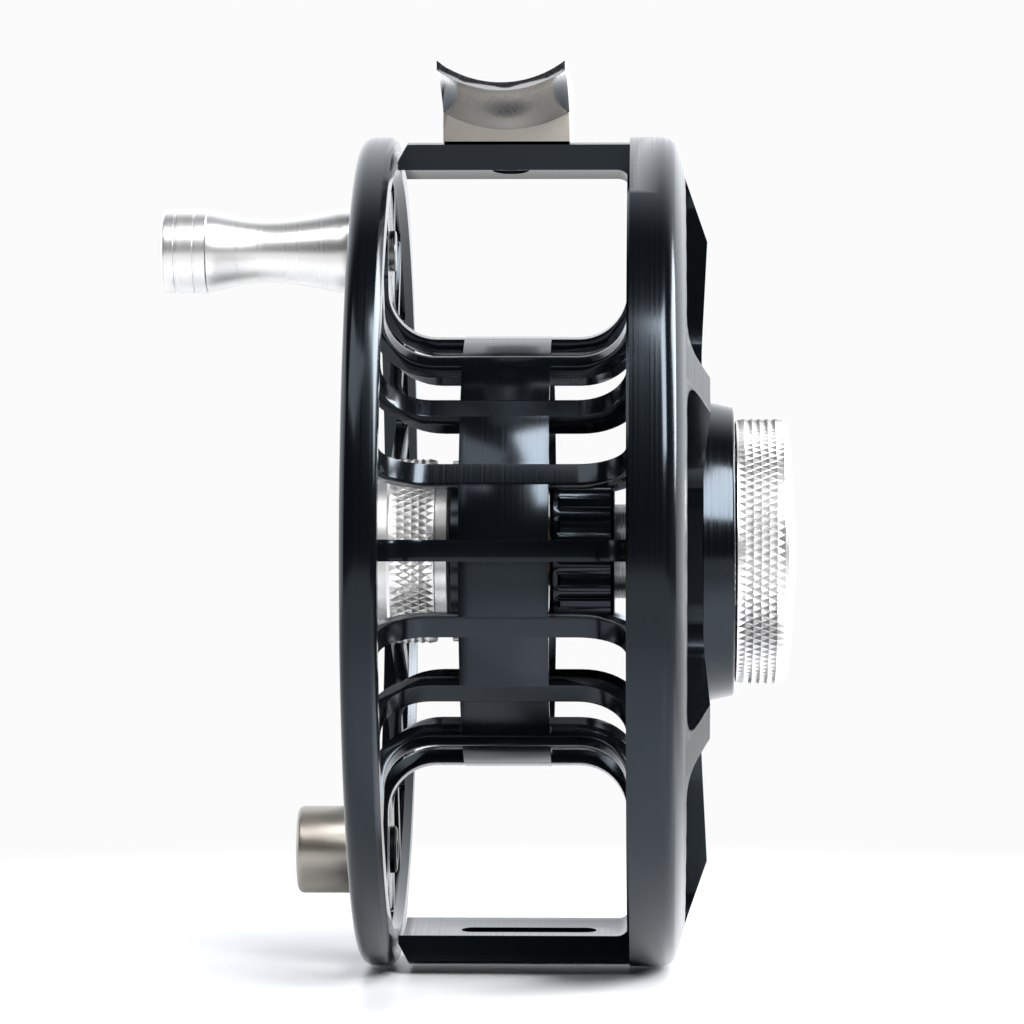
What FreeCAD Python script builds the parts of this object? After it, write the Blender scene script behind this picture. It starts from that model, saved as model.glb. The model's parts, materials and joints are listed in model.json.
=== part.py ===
import FreeCAD, Part
import math
import os

# A fly reel with a half-cage frame. Everything is drawn about the axle (the X axis: handle side at -X, drag
# side at +X, reel foot at +Z) and then lowered so that the origin is the middle of the reel foot's seat.
V = FreeCAD.Vector

# Driving dimensions, in millimetres. X values are measured from the middle of the reel foot.
FRAME_R = 47.5            # frame ring and palming rim
CAGE_R = 44.4             # inside of the ring and of the crossbars
SEAT_Z = 51.6             # axle to the bottom of the foot's trough
RING_X = 13.9             # inner edge of the frame ring
PLATE_IN_X = 17.0         # inner face of the side plate
PLATE_EDGE_X = 20.0
PLATE_EDGE_R = 43.2
PLATE_PEAK_X = 22.7
PLATE_PEAK_R = 35.5
PLATE_HUB_X = 21.95
PLATE_HUB_R = 21.9
SPOKES = 6
SPOKE_WIDTH = 4.4
WINDOW_IN_R = 22.6
WINDOW_OUT_R = 42.9
WINDOW_CORNER_R = 3.6

BAR_OUT_R = 47.3
BAR_HALF_ANGLE = 13.0     # degrees each side of the top and the bottom
BAR_END_X = -12.3
BAR_BEVEL = 1.1
BAR_FLAT_Z = 46.4         # the foot's pedestal stands on this flat
FOOT_SCREW_Y = 5.6
FOOT_SCREW_R = 1.25
DRAIN_SLOT_X = (-4.4, 8.7)
DRAIN_SLOT_Y = 4.7
DRAIN_SLOT_R = 1.3        # half the slot's width

TROUGH_R = 11.4           # the foot's seat, which takes the rod
FOOT_HALF_WIDTH = 7.1
FOOT_HALF_LENGTH = 31.75
TIP_NARROWING = 0.15      # each side
PEDESTAL_HALF = 11.5      # half the pedestal's length
BELLY_Z = 47.4            # underside of the foot at its middle line, over the pedestal and at the tip
TIP_BELLY_Z = 50.75
SIDE_Z = 49.3             # underside at its edges, over the pedestal and at the tip
TIP_SIDE_Z = 52.9

RIM_LEFT_X = -16.7
RIM_RIGHT_X = -12.7
RIM_IN_R = 43.0
WALL = 1.5                # spool wall
FLANGE_X = 13.6           # inner faces of the flanges, each side
DRUM_R = 24.7
FLANGE_ROUND = 5.5
BAND_X = 4.95             # half width of the drum's solid band
RIGHT_RIM_R = 43.9
RIGHT_RIM_IN_R = 41.6
RIGHT_RIM_X = 15.8
FINGERS = 18
FINGER_TURN = -1.6  # degrees: the fingers don't line up with the handle's pad exactly
FINGER_WIDTH = 2.4
WEB_X = 1.6
HUB_R = 12.4
HUB_LEFT_X = -6.4
HUB_RIGHT_X = 4.4
KNOB_Z = 34.5             # handle axis above the axle
WEIGHT_Z = -34.4          # counterweight axis below it
PAD_R = 6.8

SPINDLE_R = 3.2
SPINDLE_END_X = -12.4
SPINDLE_COLLAR_X = 21.9
SPINDLE_COLLAR_R = 4.6
SPINDLE_NECK_X = 28.4
SPINDLE_NECK_R = 2.2
SPINDLE_TIP_X = 31.2
RUN = 0.05                # running clearance on a radius
BEARING_IN_R = 4.0
BEARING_OUT_R = 8.0
BEARING_WIDTH = 5.0
LEFT_BEARING_X = -5.95
RIGHT_BEARING_X = -0.6
BALL_R = 1.0
BALL_GAP = 0.12
BALL_PITCH_R = 6.0
BALLS = 8

DRAG_HUB_R = 9.8
DRAG_HUB_X = 4.9
DRAG_HUB_END_X = 12.1
FLUTES = 20
FLUTE_R = 0.75
DOG_WIDTH = 4.0
DOG_END_X = 3.0
ROTOR_TUBE_R = 5.4
ROTOR_X = 5.6
ROTOR_DISC_X = 18.0
ROTOR_DISC_END_X = 19.2
HOUSING_BORE_R = 13.6
CAVITY_R = 12.0
CAVITY_END_X = 23.4
HOUSING_END_X = 25.7
SCREWS = 4                # they hold the housing to the side plate
SCREWS_FIRST = 45.0
SCREW_PITCH_R = 15.2
SCREW_R = 1.05
SCREW_HEAD_R = 1.7
SCREW_SEAT_X = 15.7
COVER_X = 14.4
COVER_R = 18.0
DISC_IN_R = 6.0           # bore of the friction discs and of the pressure plate

DRAG_KNOB_R = 15.2
DRAG_KNOB_X = 25.9
KNOB_FACE_X = 32.05
DRAG_KNOB_END_X = 32.8
KNOB_SKIRT_R = 12.8
KNOB_WEB_X = (29.5, 30.5)
PINS = 3
PIN_PITCH_R = 10.2
CLICKS = 3
CLICKS_FIRST = 30.0
CLICK_PITCH_R = 14.0
CLICK_BALL_R = 0.8

CAP_FACE_X = -14.6
CAP_LIP_X = -15.0
CAP_R = 10.6
CAP_SKIRT_X = -8.3
CAP_SKIRT_R = 9.9
CAP_END_X = -6.55
CAP_BORE_R = 3.3

HANDLE_END_X = -39.7
HANDLE_X = -17.15
HANDLE_R = 4.85
HANDLE_WAIST_R = 3.62
HANDLE_BORE_R = 2.2
HANDLE_PIN_R = 1.9
BUSH_R = 2.85
BUSH_IN_X = (-21.0, -33.5)  # the shoulders that the two bushes stand against

WEIGHT_END_X = -24.3
WEIGHT_R = 5.0
WEIGHT_SCREW_X = -21.0
WEIGHT_SCREW_R = 1.5


def turned(profile, y=0.0, z=0.0):
    """A solid of revolution about a line along X. A point is (x, r), or (xm, rm, x, r) for an arc through m."""
    start = V(profile[0][0], y, z + profile[0][1])
    edges = []
    last = start
    for point in profile[1:]:
        end = V(point[-2], y, z + point[-1])
        if len(point) == 4:
            edges.append(Part.Arc(last, V(point[0], y, z + point[1]), end).toShape())
        else:
            edges.append(Part.LineSegment(last, end).toShape())
        last = end
    if last.distanceToPoint(start) > 1e-6:
        edges.append(Part.LineSegment(last, start).toShape())
    face = Part.Face(Part.Wire(edges))
    return face.revolve(V(0, y, z), V(1, 0, 0), 360)


def ring(x0, x1, r_in, r_out, y=0.0, z=0.0):
    """A plain tube or washer from x0 to x1."""
    return turned([(x0, r_in), (x0, r_out), (x1, r_out), (x1, r_in)], y, z)


def rod(x0, x1, r, y=0.0, z=0.0):
    """A solid cylinder along X."""
    return Part.makeCylinder(r, x1 - x0, V(x0, y, z), V(1, 0, 0))


def block(x0, x1, y0, y1, z0, z1):
    return Part.makeBox(x1 - x0, y1 - y0, z1 - z0, V(x0, y0, z0))


def spun(shape, degrees):
    """A copy turned about the axle."""
    copy = shape.copy()
    copy.rotate(V(0, 0, 0), V(1, 0, 0), degrees)
    return copy


def around(shape, count, first=0.0):
    """Copies of a shape spaced evenly about the axle."""
    return [spun(shape, first + 360.0 * i / count) for i in range(count)]


def polar(r, degrees, x=0.0):
    """A point at radius r, turned from +Y towards +Z."""
    angle = math.radians(degrees)
    return V(x, r * math.cos(angle), r * math.sin(angle))


def slot_prism(r_in, r_out, pitch, width, x0, x1, corner):
    """The opening between two radial bars of a given width, from x0 to x1, with its four corners rounded."""
    half = width / 2
    sides = []
    for r in (r_in, r_out):
        lean = math.degrees(math.asin(half / r))
        sides.append((polar(r, lean, x0), polar(r, pitch - lean, x0), polar(r, pitch / 2, x0)))
    (a, b, inner_mid), (d, c, outer_mid) = sides
    wire = Part.Wire([
        Part.LineSegment(a, d).toShape(),
        Part.Arc(d, outer_mid, c).toShape(),
        Part.LineSegment(c, b).toShape(),
        Part.Arc(b, inner_mid, a).toShape(),
    ])
    prism = Part.Face(wire).extrude(V(x1 - x0, 0, 0))
    along = [e for e in prism.Edges if abs(e.tangentAt(e.FirstParameter).x) > 0.99]
    return prism.makeFillet(corner, along)


# ---------------------------------------------------------------- frame and foot

def frame_ring():
    """The ring and the dished side plate, turned in one."""
    return turned([
        (RING_X, CAGE_R), (RING_X, FRAME_R - 0.4), (RING_X + 0.4, FRAME_R), (17.3, FRAME_R),
        (18.35, FRAME_R - 0.35, 18.95, FRAME_R - 1.15), (PLATE_EDGE_X, PLATE_EDGE_R + 0.3),
        (PLATE_EDGE_X, PLATE_EDGE_R),
        (PLATE_PEAK_X, PLATE_PEAK_R), (PLATE_HUB_X + 0.05, PLATE_HUB_R), (PLATE_HUB_X, 18.0),
        (PLATE_HUB_X, HOUSING_BORE_R), (PLATE_IN_X, HOUSING_BORE_R), (PLATE_IN_X, CAGE_R - 1.2),
        (PLATE_IN_X - 0.35, CAGE_R - 0.35, PLATE_IN_X - 1.2, CAGE_R),
    ])


def crossbar():
    """The upper crossbar: an arc-shaped bar with a bevelled free end."""
    bar = turned([
        (BAR_END_X, CAGE_R), (BAR_END_X, CAGE_R + 0.9), (BAR_END_X + BAR_BEVEL, BAR_OUT_R),
        (RING_X + 0.6, BAR_OUT_R), (RING_X + 0.6, CAGE_R),
    ])
    half = math.tan(math.radians(BAR_HALF_ANGLE)) * 60
    wedge = Part.Face(Part.makePolygon([V(-20, 0, 0), V(-20, -half, 60), V(-20, half, 60), V(-20, 0, 0)]))
    return bar.common(wedge.extrude(V(40, 0, 0)))


def make_frame():
    body = frame_ring()
    top = crossbar()
    bottom = spun(top, 180)
    top = top.cut(block(-30, RING_X, -20, 20, BAR_FLAT_Z, 60))
    slot = block(*DRAIN_SLOT_X, DRAIN_SLOT_Y - DRAIN_SLOT_R, DRAIN_SLOT_Y + DRAIN_SLOT_R, -50, -42)
    for x in DRAIN_SLOT_X:
        slot = slot.fuse(Part.makeCylinder(DRAIN_SLOT_R, 8, V(x, DRAIN_SLOT_Y, -50)))
    bottom = bottom.cut(slot)
    for y in (-FOOT_SCREW_Y, FOOT_SCREW_Y):
        top = top.cut(Part.makeCylinder(FOOT_SCREW_R, 10, V(0, y, 40)))
        top = top.cut(Part.makeCylinder(2.1, 1.2, V(0, y, CAGE_R - 0.5)))
    body = body.fuse([top, bottom]).removeSplitter()
    pitch = 360.0 / SPOKES
    window = slot_prism(WINDOW_IN_R, WINDOW_OUT_R, pitch, SPOKE_WIDTH, 10, 30, WINDOW_CORNER_R)
    body = body.cut(around(window, SPOKES, 90.0))
    return body.cut(around(rod(10, 30, SCREW_R, 0, SCREW_PITCH_R), SCREWS, SCREWS_FIRST))


def foot_section(y, low_mid, low_side, half_width):
    """A cross-section of the foot's trough: rod-side arc above, belly below."""
    sag = TROUGH_R - math.sqrt(TROUGH_R ** 2 - half_width ** 2)
    tip = SEAT_Z + sag
    left, right = V(-half_width, y, tip), V(half_width, y, tip)
    low_left, low_right = V(-half_width, y, low_side), V(half_width, y, low_side)
    return Part.Wire([
        Part.Arc(left, V(0, y, SEAT_Z), right).toShape(),
        Part.LineSegment(right, low_right).toShape(),
        Part.Arc(low_right, V(0, y, low_mid), low_left).toShape(),
        Part.LineSegment(low_left, left).toShape(),
    ])


def make_reel_foot():
    """A pedestal under a trough whose two ramps thin out towards their tips."""
    stations = 7
    ramp_start = PEDESTAL_HALF - 1.0
    sections = []
    for i in range(stations):
        t = i / (stations - 1)
        y = ramp_start + (FOOT_HALF_LENGTH - ramp_start) * t
        rise = 1 - (1 - t) ** 2.2
        low_mid = BELLY_Z + (TIP_BELLY_Z - BELLY_Z) * rise
        low_side = SIDE_Z + (TIP_SIDE_Z - SIDE_Z) * rise
        sections.append(foot_section(y, low_mid, low_side, FOOT_HALF_WIDTH - TIP_NARROWING * t))
    ramp = Part.makeLoft(sections, True, False)
    other = ramp.mirror(V(0, 0, 0), V(0, 1, 0))
    end = Part.Face(foot_section(-PEDESTAL_HALF, BELLY_Z, SIDE_Z, FOOT_HALF_WIDTH))
    middle = end.extrude(V(0, 2 * PEDESTAL_HALF, 0))
    pedestal = block(-FOOT_HALF_WIDTH, FOOT_HALF_WIDTH, -PEDESTAL_HALF, PEDESTAL_HALF, BAR_FLAT_Z, SIDE_Z + 0.3)
    foot = middle.fuse([pedestal, ramp, other]).removeSplitter()
    for y in (-FOOT_SCREW_Y, FOOT_SCREW_Y):
        foot = foot.cut(Part.makeCylinder(FOOT_SCREW_R, 3.6, V(0, y, BAR_FLAT_Z)))
    return foot


def make_foot_screws():
    """Two countersunk screws, driven up through the upper crossbar."""
    screws = []
    for y in (-FOOT_SCREW_Y, FOOT_SCREW_Y):
        head = Part.makeCylinder(2.0, 1.0, V(0, y, CAGE_R - 0.3))
        head = head.cut(Part.makeCylinder(0.8, 0.7, V(0, y, CAGE_R - 0.3)))
        shank = Part.makeCylinder(FOOT_SCREW_R, 4.8, V(0, y, CAGE_R + 0.7))
        screws.append(head.fuse(shank))
    return Part.makeCompound(screws)


# ---------------------------------------------------------------- spindle and drag

def make_spindle():
    return turned([
        (SPINDLE_END_X, 0), (SPINDLE_END_X, SPINDLE_R - 0.6), (SPINDLE_END_X + 0.6, SPINDLE_R),
        (SPINDLE_COLLAR_X, SPINDLE_R), (SPINDLE_COLLAR_X, SPINDLE_COLLAR_R), (CAVITY_END_X, SPINDLE_COLLAR_R),
        (CAVITY_END_X, SPINDLE_R), (SPINDLE_NECK_X, SPINDLE_R), (SPINDLE_NECK_X, SPINDLE_NECK_R),
        (SPINDLE_TIP_X, SPINDLE_NECK_R), (SPINDLE_TIP_X, 0),
    ])


def make_spindle_nut():
    corners = [polar(4.95, 60 * i, HOUSING_END_X) for i in range(7)]
    nut = Part.Face(Part.makePolygon(corners)).extrude(V(2.3, 0, 0))
    return nut.cut(rod(20, 30, SPINDLE_R))


def make_knob_retainer():
    return ring(SPINDLE_TIP_X - 0.5, SPINDLE_TIP_X, SPINDLE_NECK_R, SPINDLE_COLLAR_R)


def make_drag_housing():
    """The black cup on the side plate: it holds the brake discs and carries the knob's thread."""
    cup = turned([
        (PLATE_IN_X, CAVITY_R), (PLATE_IN_X, HOUSING_BORE_R), (PLATE_HUB_X, HOUSING_BORE_R),
        (PLATE_HUB_X, 17.3), (25.35, 16.6), (HOUSING_END_X, 16.2), (HOUSING_END_X, 8.0), (28.8, 8.0),
        (28.8, 6.2), (HOUSING_END_X, 6.2), (HOUSING_END_X, SPINDLE_R), (CAVITY_END_X, SPINDLE_R),
        (CAVITY_END_X, CAVITY_R),
    ])
    cup = cup.cut(around(rod(20, 30, 0.9, 0, PIN_PITCH_R), PINS))
    return cup.cut(around(rod(20, 23.9, SCREW_R, 0, SCREW_PITCH_R), SCREWS, SCREWS_FIRST))


def make_drag_cover():
    cover = turned([
        (COVER_X, 7.2), (COVER_X, COVER_R - 0.5), (COVER_X + 0.5, COVER_R), (PLATE_IN_X, COVER_R),
        (PLATE_IN_X, 5.7), (16.5, 5.7), (16.5, 7.2),
    ])
    cover = cover.cut(around(rod(10, 20, SCREW_R, 0, SCREW_PITCH_R), SCREWS, SCREWS_FIRST))
    return cover.cut(around(rod(10, SCREW_SEAT_X, SCREW_HEAD_R + RUN, 0, SCREW_PITCH_R), SCREWS, SCREWS_FIRST))


def make_housing_screws():
    """Four screws through the cover and the side plate into the drag housing."""
    head = rod(COVER_X + 0.1, SCREW_SEAT_X, SCREW_HEAD_R, 0, SCREW_PITCH_R)
    socket = rod(COVER_X, 15.1, 0.8, 0, SCREW_PITCH_R)
    shank = rod(SCREW_SEAT_X, 23.7, SCREW_R, 0, SCREW_PITCH_R)
    return Part.makeCompound(around(head.fuse(shank).cut(socket), SCREWS, SCREWS_FIRST))


def make_shaft_seal():
    return turned([
        (14.9, ROTOR_TUBE_R + 0.5), (14.9, 7.2), (16.5, 7.2), (16.5, 6.4), (15.9, 6.4),
        (15.8, ROTOR_TUBE_R + RUN),
        (15.5, ROTOR_TUBE_R + RUN),
    ])


def make_brake_rotor():
    return turned([
        (ROTOR_X, SPINDLE_R + RUN), (ROTOR_X, ROTOR_TUBE_R), (ROTOR_DISC_X, ROTOR_TUBE_R),
        (ROTOR_DISC_X, 11.5),
        (ROTOR_DISC_END_X, 11.5), (ROTOR_DISC_END_X, SPINDLE_R + RUN),
    ])


def make_pressure_plate():
    plate = ring(20.6, 21.6, DISC_IN_R, 11.7)
    return plate.cut(around(rod(20, 21.0, 0.9, 0, 8.8), 6))


def make_spring_washers():
    """Two disc springs back to back."""
    first = turned([(21.6, 6.2), (21.9, 11.2), (22.0, 11.2), (21.75, 6.2)])
    second = turned([(22.25, 6.2), (22.0, 11.2), (22.1, 11.2), (22.4, 6.2)])
    return Part.makeCompound([first, second])


def make_push_pins():
    return Part.makeCompound(around(rod(22.4, 26.3, 0.8, 0, PIN_PITCH_R), PINS))


def make_drag_hub():
    """The fluted hub that the spool drives, with two dogs on its inner face."""
    hub = turned([
        (DRAG_HUB_X, BEARING_OUT_R), (DRAG_HUB_X, DRAG_HUB_R - 0.3), (DRAG_HUB_X + 0.3, DRAG_HUB_R),
        (DRAG_HUB_END_X - 0.3, DRAG_HUB_R), (DRAG_HUB_END_X, DRAG_HUB_R - 0.3), (DRAG_HUB_END_X, 5.7),
        (11.6, 5.7), (11.6, BEARING_OUT_R),
    ])
    flute = rod(DRAG_HUB_X + 0.9, 20, FLUTE_R, 0, DRAG_HUB_R + 0.15)
    hub = hub.cut(around(flute, FLUTES))
    dog = block(DOG_END_X, DRAG_HUB_X + 0.4, -DOG_WIDTH / 2, DOG_WIDTH / 2, 0, 12)
    dog = dog.common(ring(0, 10, 8.3, DRAG_HUB_R - 0.3))
    return hub.fuse(around(dog, 2)).removeSplitter()


def make_roller_clutch():
    """A one-way roller clutch: its outer shell and ten rollers."""
    shell = ring(6.0, 11.5, 7.05, BEARING_OUT_R)
    roller = rod(6.4, 11.1, 0.75, 0, ROTOR_TUBE_R + RUN + 0.75)
    return Part.makeCompound([shell] + around(roller, 10))


# ---------------------------------------------------------------- drag knob

def make_drag_knob():
    """The knob's skirt and web. Its outside is the knurl's outer diameter."""
    knob = turned([
        (DRAG_KNOB_X, KNOB_SKIRT_R), (DRAG_KNOB_X, DRAG_KNOB_R - 0.25), (DRAG_KNOB_X + 0.25, DRAG_KNOB_R),
        (KNOB_FACE_X - 0.75, DRAG_KNOB_R), (KNOB_FACE_X - 0.3, DRAG_KNOB_R - 0.5),
        (KNOB_FACE_X, KNOB_SKIRT_R),
        (KNOB_WEB_X[1], KNOB_SKIRT_R), (KNOB_WEB_X[1], 3.4), (KNOB_WEB_X[0], 3.4),
        (KNOB_WEB_X[0], KNOB_SKIRT_R),
    ])
    return knob.cut(around(rod(20, 28.5, CLICK_BALL_R + RUN, 0, CLICK_PITCH_R), CLICKS, CLICKS_FIRST))


def make_knob_cap():
    """The domed disc that closes the knob's end: a flat-backed blank cut to a large ball."""
    back_x = KNOB_WEB_X[1]
    blank = turned([
        (31.6, 0), (31.6, 5.2), (back_x, 5.2), (back_x, KNOB_SKIRT_R), (33.5, KNOB_SKIRT_R), (33.5, 0),
    ])
    rise = DRAG_KNOB_END_X - KNOB_FACE_X
    ball_r = (KNOB_SKIRT_R ** 2 + rise ** 2) / (2 * rise)
    return blank.common(Part.makeSphere(ball_r, V(DRAG_KNOB_END_X - ball_r, 0, 0), V(0, 1, 0)))


def make_click_balls():
    ball = Part.makeSphere(CLICK_BALL_R, V(26.6, 0, CLICK_PITCH_R))
    return Part.makeCompound(around(ball, CLICKS, CLICKS_FIRST))


def make_click_springs():
    spring = ring(27.4, 28.5, 0.45, 0.75, 0, CLICK_PITCH_R)
    return Part.makeCompound(around(spring, CLICKS, CLICKS_FIRST))


# ---------------------------------------------------------------- spool

def spool_blank():
    """The spool before its windows are milled: rim, flanges, drum, web and hub."""
    round_x = FLANGE_X - FLANGE_ROUND
    round_r = DRUM_R + FLANGE_ROUND
    near = FLANGE_ROUND * math.sqrt(0.5)
    far = (FLANGE_ROUND + WALL) * math.sqrt(0.5)
    inside_r = DRUM_R - WALL
    outside_x = FLANGE_X + WALL
    return turned([
        (-round_x, DRUM_R), (round_x, DRUM_R),
        (round_x + near, round_r - near, FLANGE_X, round_r), (FLANGE_X, RIGHT_RIM_R - 0.4),
        (FLANGE_X + 0.4, RIGHT_RIM_R), (RIGHT_RIM_X, RIGHT_RIM_R), (RIGHT_RIM_X, RIGHT_RIM_IN_R),
        (outside_x, RIGHT_RIM_IN_R), (outside_x, round_r),
        (round_x + far, round_r - far, round_x, inside_r), (WEB_X, inside_r), (WEB_X, HUB_R),
        (HUB_RIGHT_X, HUB_R), (HUB_RIGHT_X, BEARING_OUT_R), (RIGHT_BEARING_X, BEARING_OUT_R),
        (RIGHT_BEARING_X, 7.3), (LEFT_BEARING_X + BEARING_WIDTH, 7.3),
        (LEFT_BEARING_X + BEARING_WIDTH, BEARING_OUT_R), (HUB_LEFT_X, BEARING_OUT_R), (HUB_LEFT_X, HUB_R),
        (-WEB_X, HUB_R), (-WEB_X, inside_r), (-round_x, inside_r),
        (-round_x - far, round_r - far, -outside_x, round_r), (-outside_x, RIM_IN_R),
        (RIM_LEFT_X, RIM_IN_R + 0.6), (RIM_LEFT_X, FRAME_R - 1.6),
        (RIM_LEFT_X + 0.47, FRAME_R - 0.47, RIM_LEFT_X + 1.6, FRAME_R), (RIM_RIGHT_X - 0.6, FRAME_R),
        (RIM_RIGHT_X, FRAME_R - 0.6), (RIM_RIGHT_X, RIM_IN_R + 0.9), (-FLANGE_X, RIM_IN_R),
        (-FLANGE_X, round_r), (-round_x - near, round_r - near, -round_x, DRUM_R),
    ])


def spool_window(outer_r):
    """One opening between two fingers, milled through drum and flange from the band outwards."""
    pitch = 360.0 / FINGERS
    prism = slot_prism(18.0, outer_r, pitch, FINGER_WIDTH, BAND_X, 20, 0.9)
    floor = [e for e in prism.Edges if abs(e.BoundBox.XMax - BAND_X) < 1e-6 and e.BoundBox.DiagonalLength > 15]
    return prism.makeFillet(0.7, floor)


def make_spool():
    body = spool_blank()
    body = body.cut(around(spool_window(RIGHT_RIM_IN_R - 0.2), FINGERS, FINGER_TURN))
    left = spool_window(RIM_IN_R - 0.3).mirror(V(0, 0, 0), V(1, 0, 0))
    body = body.cut(around(left, FINGERS, FINGER_TURN))
    pads = []
    for z in (KNOB_Z, WEIGHT_Z):
        pads.append(rod(RIM_LEFT_X, -FLANGE_X, PAD_R, 0, z))
    body = body.fuse(pads).removeSplitter()
    body = body.cut(rod(-30, 0, HANDLE_PIN_R, 0, KNOB_Z))
    body = body.cut(rod(-30, 0, WEIGHT_SCREW_R, 0, WEIGHT_Z))
    slot = block(DOG_END_X - 0.4, 10, -DOG_WIDTH / 2 - 0.12, DOG_WIDTH / 2 + 0.12, 0, 12)
    slot = slot.common(ring(0, 10, BEARING_OUT_R, DRAG_HUB_R + 0.3))
    return body.cut(around(slot, 2))


def race_groove(x):
    """The ball track that is cut into both races."""
    return Part.makeTorus(BALL_PITCH_R, BALL_R + BALL_GAP, V(x, 0, 0), V(1, 0, 0))


def bearing_races(r_in, r_out):
    races = []
    for x in (LEFT_BEARING_X, RIGHT_BEARING_X):
        blank = ring(x, x + BEARING_WIDTH, r_in, r_out)
        races.append(blank.cut(race_groove(x + BEARING_WIDTH / 2)))
    return Part.makeCompound(races)


def make_bearing_balls():
    balls = []
    for x in (LEFT_BEARING_X, RIGHT_BEARING_X):
        ball = Part.makeSphere(BALL_R, V(x + BEARING_WIDTH / 2, 0, BALL_PITCH_R))
        balls += around(ball, BALLS)
    return Part.makeCompound(balls)


def make_release_cap():
    """The knurled cap that keeps the spool on the spindle, with a groove for its O-ring."""
    return turned([
        (CAP_FACE_X, 0), (CAP_FACE_X, 7.6), (CAP_LIP_X, 8.2), (CAP_LIP_X, CAP_R - 0.4), (CAP_FACE_X, CAP_R),
        (CAP_SKIRT_X, CAP_R), (CAP_SKIRT_X, CAP_SKIRT_R), (CAP_END_X - 0.35, CAP_SKIRT_R),
        (CAP_END_X, CAP_SKIRT_R - 0.4), (CAP_END_X, CAP_BORE_R), (-7.45, CAP_BORE_R),
        (-7.45, CAP_BORE_R + 1.0), (-8.65, CAP_BORE_R + 1.0), (-8.65, CAP_BORE_R),
        (SPINDLE_END_X - 0.4, CAP_BORE_R), (SPINDLE_END_X - 0.4, 0),
    ])


def make_cap_o_ring():
    return Part.makeTorus(3.78, 0.5, V(-8.05, 0, 0), V(1, 0, 0))


# ---------------------------------------------------------------- handle and counterweight

def make_handle_knob():
    """The waisted grip. It turns on its spindle, on a bush at each end."""
    groove_r = HANDLE_R - 0.25
    outside = [(HANDLE_END_X, HANDLE_R - 0.5), (HANDLE_END_X + 0.4, HANDLE_R)]
    for x in (-38.25, -36.05):
        outside += [(x - 0.15, HANDLE_R), (x - 0.15, groove_r), (x + 0.15, groove_r), (x + 0.15, HANDLE_R)]
    outside += [(-34.6, HANDLE_R), (-27.4, HANDLE_WAIST_R, -19.4, HANDLE_R - 0.05), (-17.5, HANDLE_R - 0.05)]
    outside += [(HANDLE_X, HANDLE_R - 0.35)]
    near, far = BUSH_IN_X
    inside = [(HANDLE_X, BUSH_R), (near, BUSH_R), (near, HANDLE_BORE_R), (far, HANDLE_BORE_R), (far, BUSH_R),
              (-37.6, BUSH_R), (-37.6, 3.4), (HANDLE_END_X, 3.4)]
    return turned(outside + inside, 0, KNOB_Z)


def make_handle_bushes():
    near, far = BUSH_IN_X
    bore = HANDLE_PIN_R + 0.07
    bushes = [ring(near, HANDLE_X, bore, BUSH_R, 0, KNOB_Z), ring(-37.4, far, bore, BUSH_R, 0, KNOB_Z)]
    return Part.makeCompound(bushes)


def make_handle_spindle():
    """A shouldered pin, riveted through the flange's pad: its head shows on the line side."""
    screw_end_x = BUSH_IN_X[1]
    return turned([
        (-37.5, 1.1), (-37.5, HANDLE_PIN_R), (-FLANGE_X, HANDLE_PIN_R), (-FLANGE_X, 2.35), (-13.1, 2.35),
        (-13.0, 2.2), (-13.0, 0), (screw_end_x, 0), (screw_end_x, 1.1),
    ], 0, KNOB_Z)


def make_handle_screw():
    screw_end_x = BUSH_IN_X[1]
    screw = turned([
        (-39.4, 0), (-39.4, 2.9), (-39.1, 3.1), (-37.95, 3.1), (-37.95, 1.1), (screw_end_x, 1.1),
        (screw_end_x, 0),
    ], 0, KNOB_Z)
    return screw.cut(rod(-40, -38.6, 1.2, 0, KNOB_Z))


def make_counterweight():
    return turned([
        (WEIGHT_END_X, 0), (WEIGHT_END_X, WEIGHT_R - 0.8), (-24.07, 4.77, WEIGHT_END_X + 0.8, WEIGHT_R),
        (RIM_LEFT_X, WEIGHT_R), (RIM_LEFT_X, WEIGHT_SCREW_R), (WEIGHT_SCREW_X, WEIGHT_SCREW_R),
        (WEIGHT_SCREW_X, 0),
    ], 0, WEIGHT_Z)


def make_counterweight_screw():
    screw = turned([
        (WEIGHT_SCREW_X, 0), (WEIGHT_SCREW_X, WEIGHT_SCREW_R), (-FLANGE_X, WEIGHT_SCREW_R), (-FLANGE_X, 2.7),
        (-13.1, 2.7), (-12.9, 2.4), (-12.9, 0),
    ], 0, WEIGHT_Z)
    return screw.cut(rod(-13.4, -12, 1.1, 0, WEIGHT_Z))


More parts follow.
